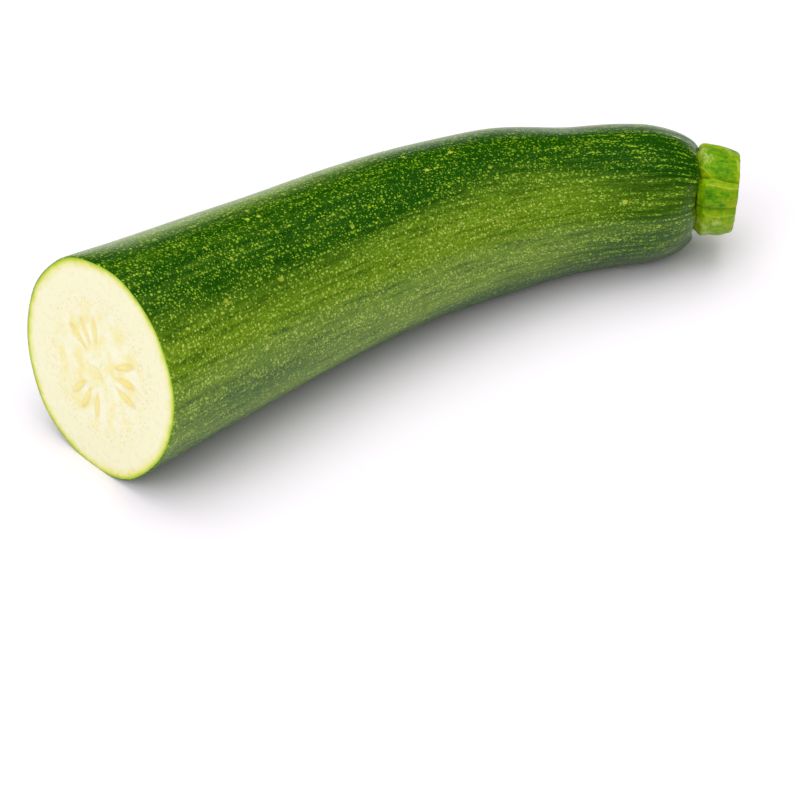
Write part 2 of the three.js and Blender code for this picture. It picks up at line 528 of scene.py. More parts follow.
@dataclass
class Fruit:
    """The fruit: a bent, tapering body with a cut face at one end and a dimpled shoulder."""

    growth: Growth
    cut: CutFace
    segments: int = 216
    face_step: float = 0.34
    body_step: float = 0.8
    shoulder_rings: int = 22
    edge_round: float = 0.3
    edge_rings: int = 3
    dimple: tuple[tuple[float, float], ...] = ((10.1, 0.2), (9.9, 0.5), (9.5, 0.75), (9.0, 0.9), (5.0, 1.1))
    unevenness: float = 0.1
    uneven_width: float = 9.0
    uneven_length: float = 18.0
    pleat_count: int = 26
    pleat_depth: float = 0.04
    pleat_length: float = 11.0
    lobe_reach: float = 0.3
    lobe_count: int = 6
    lobe_turn: float = math.radians(123)
    stripes: tuple[Stripe, ...] = (
        Stripe(middle=170, reach=38, paleness=1.0),
        Stripe(middle=50, reach=20, paleness=1.0),
        Stripe(middle=292, reach=30, paleness=0.9),
        Stripe(middle=0, reach=12, paleness=0.5),
    )
    stripe_edge: float = 15.0
    least_pale: float = 0.12
    least_pale_until: tuple[float, float] = (45.0, 90.0)
    darkens_from: float = 0.78
    darkens_by: float = 0.6
    wander: float = 6.0
    wander_start: float = 75.0
    wander_length: float = 22.0
    # Painted shade: patches low on the side near the cut and under the shoulder, where the skin is made
    # darker.
    patches: tuple[SoftPlace, ...] = (
        SoftPlace(along=24, angle=187, reach_along=24, reach_angle=14, amount=0.65),
        SoftPlace(along=140, angle=208, reach_along=18, reach_angle=26, amount=0.9),
    )
    roller: float = 20.0
    stretch: float = 0.3
    stretch_from: float = 95.0
    rows_length: float = 40.0
    # Painted shade: a patch low on the shoulder where the skin's lines are darkened and its flecks faded.
    painted_shade_patch: SoftPlace = SoftPlace(along=148, angle=232, reach_along=22, reach_angle=34, amount=1.0)
    scar_place: tuple[float, float] = (133.0, 62.0)
    scar_reach: tuple[float, float] = (1.9, 0.8)

    def outline(self) -> list[tuple[float, float]]:
        """The blank's outline, from the middle of the cut face to the middle of the dimple."""
        growth = self.growth
        flat_edge = growth.radii[0] - self.edge_round
        face_rings = round(flat_edge / self.face_step)
        points = [(flat_edge * i / face_rings, 0.0) for i in range(face_rings + 1)]
        for i in range(1, self.edge_rings + 1):
            turn = math.pi / 2 * i / self.edge_rings
            rounded = self.edge_round * (1 - math.cos(turn))
            points.append((flat_edge + self.edge_round * math.sin(turn), rounded))
        start = self.edge_round
        body_rings = round((growth.body_length - start) / self.body_step)
        for i in range(1, body_rings + 1):
            along = start + (growth.body_length - start) * i / body_rings
            points.append((growth.radius(along), along))
        for i in range(1, self.shoulder_rings + 1):
            share = math.sin(math.pi / 2 * i / self.shoulder_rings)
            along = growth.body_length + growth.shoulder_length * share
            points.append((growth.radius(along), along))
        points += [(out, growth.length - depth) for out, depth in self.dimple]
        points.append((0.0, growth.length - self.dimple[-1][1]))
        return points

    def tone(self, angle: float, along: float) -> float:
        """How pale the skin is, from 0 to 1, where it has grown lengthwise stripes, less pale under painted
        shade.
        """
        shift = self.wander * math.sin((along - self.wander_start) / self.wander_length)
        pale = self.least_pale * (1 - smoothstep(along, *self.least_pale_until))
        for stripe in self.stripes:
            off = abs(degrees_from(angle, stripe.middle - shift))
            inner, outer = stripe.reach - self.stripe_edge, stripe.reach + self.stripe_edge
            pale = max(pale, stripe.paleness * (1 - smoothstep(off, inner, outer)))
        # Painted shade darkens the skin in its patches.
        for patch in self.patches:
            pale *= 1 - patch.at(angle, along)
        body_length = self.growth.body_length
        near_stalk = smoothstep(along, body_length * self.darkens_from, body_length)
        return pale * (1 - self.darkens_by * near_stalk)

    def scar(self, angle: float, along: float) -> float:
        """Where the skin once healed over a small scratch, from 0 to 1."""
        at_along, at_angle = self.scar_place
        across = math.radians(degrees_from(angle, at_angle)) * self.growth.radius(along)
        reach = math.hypot((along - at_along) / self.scar_reach[0], across / self.scar_reach[1])
        return 1 - smoothstep(reach + 0.25 * swirl(along / 0.8, across / 0.8, 0, 15), 0.7, 1.1)

    @cached_property
    def walks(self) -> list[tuple[float, float]]:
        """Distance along the middle line and along the skin, at each ring from the cut to the rim."""
        found = [(0.0, 0.0)]
        before = (self.growth.radii[0], 0.0)
        for out, along in self.outline():
            if along > found[-1][0]:
                found.append((along, found[-1][1] + math.dist((out, along), before)))
                before = (out, along)
        return found

    def on_skin(self, out: float, angle: float, along: float) -> Vector:
        """Finds a point's place in the skin's pattern, which is wrapped on a roller of one radius.

        The pattern's rows come together where the shoulder narrows, and its flecks grow longer from
        the middle of the courgette to its stalk, as they do where the skin has grown.
        """
        walks = self.walks
        i = min(max(bisect_left(walks, along, key=lambda w: w[0]), 1), len(walks) - 1)
        (s0, w0), (s1, w1) = walks[i - 1], walks[i]
        walk = w0 + (w1 - w0) * min((along - s0) / (s1 - s0), 1.0)
        if along > self.growth.body_length and out < self.growth.rim_radius - self.edge_round / 2:
            walk = walks[-1][1] + self.growth.rim_radius - out
        drawn = max(walk - self.stretch_from, 0.0)
        walk -= self.stretch * drawn * drawn / (2 * (walks[-1][1] - self.stretch_from))
        return Vector((self.roller * math.cos(angle), self.roller * math.sin(angle), walk))

    def place(self, out: float, angle: float, along: float, on_face: bool) -> Vector:
        """Finds the place of a point of the straight blank on the grown fruit.

        Args:
            out: Distance from the blank's axis.
            angle: Angle round it.
            along: Distance along it.
            on_face: Whether the point is on the cut face.

        Returns:
            The point, in millimetres.
        """
        growth = self.growth
        edge = growth.radii[0]
        share = out / edge if on_face else 1.0
        lumps = swirl(
            math.cos(angle) * edge / self.uneven_width,
            math.sin(angle) * edge / self.uneven_width,
            along / self.uneven_length,
            9,
        )
        fade = smoothstep(along, 0, 12) * (1 - smoothstep(along, growth.length - 6, growth.length - 1))
        pleated = smoothstep(along, growth.length - self.pleat_length, growth.length - 2)
        uneven = swirl(math.cos(angle) * 2.5, math.sin(angle) * 2.5, along / 14, 16)
        pleats = math.cos(self.pleat_count * angle + 3.5 * uneven) * (0.6 + uneven)
        grown = out * (1 + growth.rib_share(angle, along) * share)
        grown += growth.side_swell(angle, along) * share * share + self.unevenness * lumps * fade
        grown += self.pleat_depth * pleats * pleated * smoothstep(out, 6, growth.rim_radius)
        lobes = math.cos(self.lobe_count * (angle - self.lobe_turn) + 0.6 * uneven)
        ahead = along + grown * self.cut.slant(angle, along) - growth.dip(angle, out, along)
        ahead += self.lobe_reach * lobes * smoothstep(along, growth.length - 7, growth.length - 1)
        if on_face:
            ahead -= self.cut.relief(grown * math.cos(angle), grown * math.sin(angle), edge)
        point = growth.beside(ahead, grown, angle)
        point.z = max(point.z, 0.0)
        return point

    def shape(self) -> bmesh.types.BMesh:
        """Bends the blank and writes what the finishes read: the place on the plant and its tones."""
        blank = spun_blank(self.outline(), self.segments)
        layers = blank.verts.layers.float_vector
        names = ("grown_mm", "cut_mm", "marks", "zones", "skin_marks")
        grown_mm, cut_mm, marks, zones, skin_marks = [layers.new(name) for name in names]
        # How much painted shade lies on the skin at each point, from 0 to 1.
        painted_shade = blank.verts.layers.float.new("painted_shade")
        edge = self.growth.radii[0]
        flat_edge = edge - self.edge_round
        for vert in blank.verts:
            x, y, along = vert.co
            out = math.hypot(x, y)
            angle = math.atan2(y, x)
            on_face = along < 1e-4
            vert[grown_mm] = self.on_skin(out, angle, along)
            vert[cut_mm] = Vector((x, y, edge - out))
            near_stalk = smoothstep(along, self.growth.body_length - self.rows_length, self.growth.length)
            vert[skin_marks] = Vector((self.tone(angle, along), self.scar(angle, along), near_stalk))
            vert[painted_shade] = self.painted_shade_patch.at(angle, along)
            if on_face:
                vert[marks] = Vector(self.cut.marks(x, y))
                vert[zones] = Vector(self.cut.zones(x, y, edge))
            vert.co = self.place(out, angle, along, on_face) * MM
        for face in blank.faces:
            face.smooth = True
            on_cut = all(v[grown_mm].z < 1e-4 and edge - v[cut_mm].z < flat_edge + 1e-3 for v in face.verts)
            face.material_index = (Surface.FLESH if on_cut else Surface.SKIN).value
        return blank

    def build(self, skin: bpy.types.Material, flesh: bpy.types.Material) -> bpy.types.Object:
        """Makes the fruit with its skin and flesh."""
        return finish_piece("fruit_grown", self.shape(), [skin, flesh], Slot.SKIN, "fruit")


@dataclass(frozen=True)
class Ridge:
    """A thin raised line on the stalk, through places in degrees and millimetres beyond the rim."""

    places: tuple[tuple[float, float], ...]
    width: float
    mm_per_degree: float = 0.17

    def nearness(self, degrees: float, beyond: float) -> float:
        """How near a point is to the line, from 0 to 1 on it."""
        nearest = math.inf
        for (turn_a, beyond_a), (turn_b, beyond_b) in zip(self.places, self.places[1:]):
            start = Vector((wrapped(degrees - turn_a) * self.mm_per_degree, beyond - beyond_a))
            line = Vector(((turn_b - turn_a) * self.mm_per_degree, beyond_b - beyond_a))
            share = min(max(start.dot(line) / line.length_squared, 0.0), 1.0)
            nearest = min(nearest, (start - line * share).length)
        return math.exp(-((nearest / self.width) ** 2))


@dataclass(frozen=True)
class Blot:
    """A soft-edged patch of another colour on the stalk: its place and reach."""

    turn: float
    beyond: float
    turn_reach: float
    beyond_reach: float

    def strength(self, degrees: float, beyond: float) -> float:
        """How strong the patch is at a point, from 0 to 1."""
        around = wrapped(degrees - self.turn) / self.turn_reach
        ahead = (beyond - self.beyond) / self.beyond_reach
        return math.exp(-around * around - ahead * ahead)


@dataclass
class Stalk:
    """The stub of the stalk: ribs with grooves between, rooted in the dimple and cut short."""

    growth: Growth
    profile: tuple[tuple[float, float], ...] = (
        (5.0, -0.75),
        (8.8, -0.55),
        (9.45, -0.15),
        (9.8, 0.5),
        (10.4, 1.8),
        (10.6, 3.4),
        (10.4, 5.4),
        (9.9, 7.3),
        (9.45, 8.6),
        (9.0, 9.1),
        (8.0, 9.0),
        (6.0, 8.7),
        (3.0, 8.2),
    )
    length: float = 9.1
    end_radius: float = 9.0
    pith_depth: float = 1.1
    rise: float = 0.7
    bend: float = 1.2
    grooves: tuple[float, ...] = (8, 66, 128, 169, 240, 312)
    groove_twists: tuple[float, ...] = (0, 26, 2, -2, 0, 0)
    groove_shares: tuple[float, ...] = (0.12, 0.05, 0.1, 0.08, 0.12, 0.12)
    rib_squareness: float = 0.4
    cut_lean: float = math.radians(5)
    cut_lean_towards: float = math.radians(40)
    segments: int = 300
    step: float = 0.2
    fibre_depth: float = 0.09
    crease_depth: float = 0.14
    toe_swell: float = 0.5
    toe_place: float = 1.5
    toe_length: float = 2.2
    undercut: float = 0.35
    bundle_count: int = 10
    bundle_radius: float = 6.6
    bundle_width: float = 0.8
    bundle_rise: float = 0.12
    pith_edge: tuple[float, float] = (3.4, 5.4)
    pith_sink: float = 0.15
    sponge_size: float = 0.6
    rind_edge: tuple[float, float] = (7.7, 8.6)
    end_roughness: float = 0.05
    swells: tuple[SoftPlace, ...] = (
        SoftPlace(along=0.4, angle=228, reach_along=1.2, reach_angle=24, amount=0.6),
        SoftPlace(along=3.8, angle=228, reach_along=2.6, reach_angle=24, amount=-0.35),
    )
    ridge_swell: float = 0.22
    ridges: tuple[Ridge, ...] = (
        Ridge(((58, 0.6), (66, 2.8), (70, 5.2), (92, 8.3), (112, 8.9)), 0.38),
        Ridge(((112, 0.2), (120, 1.4), (129, 2.8), (133, 5.2)), 0.26),
        Ridge(((139, 1.6), (138, 3.5), (140, 6.5), (139, 8.6)), 0.3),
        Ridge(((176, 1.0), (179, 4.0), (176, 8.4)), 0.3),
        Ridge(((0, 0.5), (-8, 4.0), (-20, 8.4)), 0.34),
        Ridge(((232, 0.8), (226, 4.5), (236, 8.6)), 0.3),
        Ridge(((290, 0.6), (284, 3.5), (268, 8.4)), 0.36),
        Ridge(((30, 1.4), (36, 4.5), (33, 8.6)), 0.3),
    )
    pale_blots: tuple[Blot, ...] = (
        Blot(84, 0.9, 13, 1.5),
        Blot(102, 1.6, 10, 1.6),
        Blot(196, 1.2, 8, 1.6),
        Blot(189, 4.6, 8, 1.6),
        Blot(213, 2.0, 9, 2.4),
        Blot(345, 1.2, 14, 1.6),
        Blot(272, 1.6, 12, 2.0),
    )
    deep_blots: tuple[Blot, ...] = (
        Blot(151, 2.6, 13, 3.4),
        Blot(100, 5.0, 16, 2.6),
        Blot(20, 4.0, 16, 3.6),
        Blot(258, 5.0, 14, 3.0),
        Blot(325, 4.4, 14, 3.6),
    )
    brown_blots: tuple[Blot, ...] = (
        Blot(202, 7.6, 8, 1.0),
        Blot(99, 0.5, 8, 0.9),
        Blot(228, 0.4, 9, 0.7),
        Blot(158, 8.2, 11, 1.0),
        Blot(300, 8.0, 12, 1.0),
    )

    def outline(self) -> list[tuple[float, float]]:
        """The blank's outline from its root to the middle of its cut end, in even fine steps."""
        corners = [(0.0, self.profile[0][1]), *self.profile, (0.0, self.length - self.pith_depth)]
        last = len(corners) - 1
        points: list[tuple[float, float]] = []
        for i in range(last):
            a, b = Vector(corners[i]), Vector(corners[i + 1])
            before = Vector(corners[i - 1]) if i > 0 else 2 * a - b
            after = Vector(corners[i + 2]) if i + 2 <= last else 2 * b - a
            reach = (b - a).length
            leaving = (b - before).normalized() * reach
            arriving = (after - a).normalized() * reach
            steps = max(1, round(reach / self.step))
            for j in range(steps):
                point = on_curve(a, b, leaving, arriving, j / steps)
                points.append((max(point.x, 0.0), point.y))
        points.append(corners[-1])
        points[0] = corners[0]
        return points

    def groove(self, angle: float, beyond: float) -> tuple[float, float]:
        """How deep in a groove a point is.

        Args:
            angle: Angle round the stalk.
            beyond: Distance beyond the rim round the stalk.

        Returns:
            From 0 on a rib's crest to 1 at a groove's bottom, and the groove's depth there as a
            share of the radius.
        """
        along = min(max(beyond / self.length, 0.0), 1.0)
        turn = math.degrees(angle) % 360
        places = [g + twist * along for g, twist in zip(self.grooves, self.groove_twists)]
        ends = [places[-1] - 360, *places, places[0] + 360]
        shares = [self.groove_shares[-1], *self.groove_shares, self.groove_shares[0]]
        upper = next(i for i, place in enumerate(ends) if place > turn)
        share = (turn - ends[upper - 1]) / (ends[upper] - ends[upper - 1])
        deepest = shares[upper - 1] + (shares[upper] - shares[upper - 1]) * smoothstep(share, 0.3, 0.7)
        groove = 1 - (4 * share * (1 - share)) ** self.rib_squareness
        return groove, deepest * groove

    def on_end(self, out: float, beyond: float) -> bool:
        """Whether a point of the blank is on the cut end."""
        return out < self.end_radius - 0.4 and beyond > self.length / 2

    def ridge(self, angle: float, beyond: float) -> float:
        """How near a point is to the crest of a thin raised line, from 0 to 1."""
        return max(line.nearness(math.degrees(angle), beyond) for line in self.ridges)

    def end_marks(self, out: float, angle: float) -> tuple[float, float, float]:
        """What shows on the cut end at a point: a bundle of vessels, the spongy pith and the rind."""
        x, y = out * math.cos(angle), out * math.sin(angle)
        bent = 0.5 * swirl(x / 2.5, y / 2.5, 0, 17)
        waves = math.cos(self.bundle_count * angle + 2.5 * bent)
        near = math.exp(-(((out - self.bundle_radius + bent) / self.bundle_width) ** 2))
        bundle = near * smoothstep(waves, -0.2, 0.8)
        sponge = 0.65 + 0.5 * swirl(x / self.sponge_size, y / self.sponge_size, 0, 18)
        pith = (1 - smoothstep(out + bent, *self.pith_edge)) * sponge
        return bundle, min(max(pith, 0.0), 1.0), smoothstep(out + 0.4 * bent, *self.rind_edge)

    def place(self, out: float, angle: float, beyond: float) -> Vector:
        """Finds the place of a point of the straight blank on the grown stalk.

        Args:
            out: Distance from the blank's axis.
            angle: Angle round it.
            beyond: Distance beyond the rim round the stalk.

        Returns:
            The point, in millimetres.
        """
        growth = self.growth
        on_side = smoothstep(out, 2, self.end_radius)
        groove, groove_share = self.groove(angle, beyond)
        ribbed = out * (1 - groove_share * on_side)
        x, y = math.cos(angle) * 10, math.sin(angle) * 10
        fibres = swirl(x / 0.9, y / 0.9, beyond / 7, 11) + 0.6 * swirl(x / 0.45, y / 0.45, beyond / 4, 12)
        creases = swirl(x / 4, y / 4, beyond / 0.9, 13)
        shown = on_side * smoothstep(beyond, 0.0, 1.5)
        ribbed += shown * (self.fibre_depth * fibres + self.crease_depth * creases * (0.3 + groove))
        toe = math.exp(-(((beyond - self.toe_place) / (self.toe_length / 2)) ** 2))
        ribbed += self.toe_swell * toe * max(0.0, 1 - 1.6 * groove) * on_side
        ribbed += sum(swell.at(angle, beyond) for swell in self.swells) * on_side
        ribbed -= self.undercut * math.exp(-(((beyond - 0.2) / 0.5) ** 2)) * on_side
        ribbed += self.ridge_swell * self.ridge(angle, beyond) * on_side
        along = smoothstep(beyond, 0, self.length)
        lean = math.cos(angle - self.cut_lean_towards) * math.tan(self.cut_lean)
        ragged = 0.12 * swirl(x / 1.6, y / 1.6, 0, 14) * smoothstep(beyond, self.length - 1.5, self.length)
        if self.on_end(out, beyond):
            bundle, pith, _ = self.end_marks(out, angle)
            rough = swirl(x * out / 6, y * out / 6, 0, 19)
            ragged += self.bundle_rise * bundle - self.pith_sink * pith + self.end_roughness * rough
        point = growth.beside(growth.length + beyond + ribbed * lean * along + ragged, ribbed, angle)
        ahead = growth.station(growth.length)[1]
        right = Vector((ahead.y, -ahead.x, 0))
        return point + right * (self.bend * along) + Vector((0, 0, self.rise))

    def shape(self) -> bmesh.types.BMesh:
        """Bends the blank and writes what the finish reads: the place on the stalk and its ribs."""
        blank = spun_blank(self.outline(), self.segments)
        layers = blank.verts.layers.float_vector
        names = ("grown_mm", "ribs", "blots", "end_marks")
        grown_mm, ribs, blots, end_marks = [layers.new(name) for name in names]
        for vert in blank.verts:
            x, y, beyond = vert.co
            out = math.hypot(x, y)
            angle = math.atan2(y, x)
            end = smoothstep(beyond, self.length - 1.3, self.length - 0.3) if out > 0.5 else 1.0
            vert[grown_mm] = Vector((x, y, beyond))
            on_end = self.on_end(out, beyond)
            if on_end:
                vert[end_marks] = Vector(self.end_marks(out, angle))
            on_line = 0.0 if on_end else self.ridge(angle, beyond)
            vert[ribs] = Vector((self.groove(angle, beyond)[0] - on_line, end, float(on_end)))
            turn = math.degrees(angle)
            kinds = (self.pale_blots, self.deep_blots, self.brown_blots)
            vert[blots] = Vector([max(blot.strength(turn, beyond) for blot in kind) for kind in kinds])
            vert.co = self.place(out, angle, beyond) * MM
        for face in blank.faces:
            face.smooth = True
        return blank

    def build(self, finish: bpy.types.Material) -> bpy.types.Object:
        """Makes the stalk with its finish."""
        return finish_piece("stalk_stub", self.shape(), [finish], Slot.STALK, "stalk")


@dataclass(frozen=True)
class Flecks:
    """One size of the pale flecks that a courgette's skin is strewn with."""

    spacing: float
    stretch: float
    smallest: float
    largest: float
    softness: float
    faintest: float
    strength: float


def start_material(name: str) -> tuple[bpy.types.Material, bpy.types.NodeTree, bpy.types.Node]:
    """Starts a material.

    Args:
        name: What the finish is.

    Returns:
        The material, its nodes and its shader.
    """
    material = bpy.data.materials.new(name)
    material.use_nodes = True
    shader = material.node_tree.nodes["Principled BSDF"]
    return material, material.node_tree, shader


@dataclass(frozen=True)
class SkinFinish:
    """Courgette skin: a thin waxy rind, grown, smooth and unpolished.

    To the eye it is a dark green with broad paler stripes, strewn with fine yellow-green flecks that
    run together in lengthwise rows, under a soft gloss that goes pale at a glancing angle.
    """

    dark: str = "184c00"
    pale: str = "6e920c"
    line: str = "103600"
    fleck_on_dark: str = "8cb40c"
    fleck_on_pale: str = "b2c658"
    spot: str = "b0c03a"
    scar: str = "a5854a"
    painted_shade_depth: float = 0.55
    ior: float = 1.4
    specular: float = 0.4
    glossiest: float = 0.23
    dullest: float = 0.35
    pore_spacing: float = 0.3
    bump: float = 0.3
    bump_mm: float = 0.05
    row_width: float = 1.0
    row_length: float = 12.0
    cloud_width: float = 4.0
    cloud_length: float = 22.0
    grain_width: float = 0.45
    grain_length: float = 0.75
    grain_depth: float = 0.42
    wobble_size: float = 0.4
    wobble_reach: float = 0.24
    flecks: tuple[Flecks, ...] = (
        Flecks(0.42, 1.2, smallest=0.0, largest=0.5, softness=0.08, faintest=0.2, strength=0.85),
        Flecks(0.66, 1.2, smallest=-0.05, largest=0.42, softness=0.06, faintest=0.5, strength=1.0),
    )
    spots: Flecks = Flecks(
        3.4, 1.2, smallest=-0.14, largest=0.17, softness=0.05, faintest=0.4, strength=0.9
    )

    def material(self) -> bpy.types.Material:
        """Makes the skin's material."""
        material, tree, shader = start_material("courgette_skin")
        grown = add_node(tree, "ShaderNodeAttribute", attribute_name="grown_mm").outputs["Vector"]
        tone, scar, near_stalk = read_parts(tree, "skin_marks")
        painted_shade = add_node(tree, "ShaderNodeAttribute", attribute_name="painted_shade").outputs["Fac"]

        # Rows: a grain much longer than it is wide, which gathers the flecks into lines.
        rows = drawn_noise(tree, grown, (self.row_width, self.row_width, self.row_length), 2.0)
        loose_rows = add_node(
            tree,
            "ShaderNodeMapRange",
            {"Value": rows, "From Min": 0.34, "From Max": 0.62, "To Min": 0.78, "To Max": 1.12},
        ).outputs[0]
        tight_rows = add_node(
            tree,
            "ShaderNodeMapRange",
            {"Value": rows, "From Min": 0.4, "From Max": 0.6, "To Min": 0.35, "To Max": 1.4},
        ).outputs[0]
        row_gain = add_node(
            tree, "ShaderNodeMix", {0: near_stalk, 2: loose_rows, 3: tight_rows}, data_type="FLOAT"
        ).outputs[0]

        # A wobble keeps the flecks from being round.
        wobble = add_node(
            tree, "ShaderNodeTexNoise", {"Vector": grown, "Scale": per_mm(self.wobble_size)[0]}
        ).outputs["Color"]
        strewn = add_node(
            tree,
            "ShaderNodeVectorMath",
            {0: wobble, 1: (self.wobble_reach,) * 3, 2: grown},
            operation="MULTIPLY_ADD",
        ).outputs[0]
        mask = None
        for size in self.flecks:
            layer = self.fleck_layer(tree, strewn, row_gain, size)
            if mask is None:
                mask = layer
            else:
                mask = add_node(tree, "ShaderNodeMath", {0: mask, 1: layer}, operation="MAXIMUM").outputs[0]

        # Cloudy changes of tone, broad along the fruit and narrow across it.
        clouds = drawn_noise(tree, grown, (self.cloud_width, self.cloud_width, self.cloud_length), 4.0)
        shifts = add_node(tree, "ShaderNodeMath", {0: clouds, 1: rows}, operation="ADD").outputs[0]
        shift = add_node(
            tree,
            "ShaderNodeMapRange",
            {"Value": shifts, "From Min": 0.7, "From Max": 1.3, "To Min": -0.2, "To Max": 0.14},
            clamp=False,
        ).outputs[0]

        # Dark cells between the flecks and thin dark lines between the rows, deepened by painted shade on the
        # shoulder.
        grain = drawn_noise(tree, grown, (self.grain_width, self.grain_width, self.grain_length), 2.0)
        cell_mask = add_node(
            tree,
            "ShaderNodeMapRange",
            {"Value": grain, "From Min": 0.62, "From Max": 0.36, "To Max": self.grain_depth},
        ).outputs[0]
        paleness = add_node(
            tree, "ShaderNodeMath", {0: tone, 1: shift}, operation="ADD", use_clamp=True
        ).outputs[0]
        base = add_node(
            tree,
            "ShaderNodeMix",
            {0: paleness, 6: linear(self.dark), 7: linear(self.pale)},
            data_type="RGBA",
        ).outputs[2]
        line_mask = add_node(
            tree,
            "ShaderNodeMapRange",
            {"Value": rows, "From Min": 0.46, "From Max": 0.34, "To Max": 0.25},
            interpolation_type="SMOOTHSTEP",
        ).outputs[0]
        darkened = add_node(tree, "ShaderNodeMath", {0: line_mask, 1: cell_mask}, operation="ADD").outputs[0]
        deepened = add_node(
            tree, "ShaderNodeMath", {0: painted_shade, 1: self.painted_shade_depth, 2: darkened}, operation="MULTIPLY_ADD"
        ).outputs[0]
        fleck = add_node(
            tree,
            "ShaderNodeMix",
            {0: paleness, 6: linear(self.fleck_on_dark), 7: linear(self.fleck_on_pale)},
            data_type="RGBA",
        ).outputs[2]
        # Painted shade fades the flecks.
        shown = add_node(
            tree, "ShaderNodeMapRange", {"Value": painted_shade, "To Min": 1.0, "To Max": 1 - self.painted_shade_depth}
        ).outputs[0]
        fleck_mask = add_node(tree, "ShaderNodeMath", {0: mask, 1: shown}, operation="MULTIPLY").outputs[0]
        spot_mask = self.fleck_layer(tree, strewn, row_gain, self.spots)
        layers = ((deepened, self.line), (fleck_mask, fleck), (spot_mask, self.spot), (scar, self.scar))
        tree.links.new(paint(tree, base, layers), shader.inputs["Base Color"])

        # Pores and wax break up the gloss.
        fineness = per_mm(self.pore_spacing)[0]
        pores = add_node(
            tree, "ShaderNodeTexNoise", {"Vector": grown, "Scale": fineness, "Detail": 2.0}
        ).outputs["Fac"]
        span = {"From Min": 0.3, "From Max": 0.7, "To Min": self.glossiest, "To Max": self.dullest}
        dull = add_node(tree, "ShaderNodeMapRange", {"Value": pores, **span}).outputs[0]
        tree.links.new(dull, shader.inputs["Roughness"])
        height = add_node(
            tree, "ShaderNodeMath", {0: mask, 1: 0.35, 2: pores}, operation="MULTIPLY_ADD"
        ).outputs[0]
        bump = add_node(
            tree, "ShaderNodeBump", {"Height": height, "Strength": self.bump, "Distance": self.bump_mm * MM}
        ).outputs[0]
        tree.links.new(bump, shader.inputs["Normal"])
        shader.inputs["IOR"].default_value = self.ior
        shader.inputs["Specular IOR Level"].default_value = self.specular
        return material

    def fleck_layer(
        self,
        tree: bpy.types.NodeTree,
        strewn: bpy.types.NodeSocket,
        row_gain: bpy.types.NodeSocket,
        size: Flecks,
    ) -> bpy.types.NodeSocket:
        """Strews flecks of one size.

        Args:
            tree: The material's nodes.
            strewn: The wobbled place on the plant, in millimetres.
            row_gain: How much larger flecks are in the rows.
            size: The flecks' sizes, as shares of their spacing where they aren't in millimetres.

        Returns:
            Where the flecks are, from 0 to their strength.
        """
        scale = per_mm(size.spacing, size.spacing, size.spacing * size.stretch)
        place = add_node(tree, "ShaderNodeMapping", {"Vector": strewn, "Scale": scale}).outputs[0]
        cells = add_node(tree, "ShaderNodeTexVoronoi", {"Vector": place, "Scale": 1.0})
        chance, other_chance, _ = add_node(
            tree, "ShaderNodeSeparateColor", {0: cells.outputs["Color"]}
        ).outputs
        radius = add_node(
            tree, "ShaderNodeMapRange", {"Value": chance, "To Min": size.smallest, "To Max": size.largest}
        ).outputs[0]
        gathered = add_node(tree, "ShaderNodeMath", {0: radius, 1: row_gain}, operation="MULTIPLY").outputs[0]
        inside = add_node(
            tree, "ShaderNodeMath", {0: gathered, 1: cells.outputs["Distance"]}, operation="SUBTRACT"
        ).outputs[0]
        span = {"Value": other_chance, "To Min": size.faintest, "To Max": size.strength}
        strength = add_node(tree, "ShaderNodeMapRange", span).outputs[0]
        return add_node(
            tree,
            "ShaderNodeMapRange",
            {"Value": inside, "From Min": -size.softness, "From Max": size.softness, "To Max": strength},
            interpolation_type="SMOOTHSTEP",
        ).outputs[0]


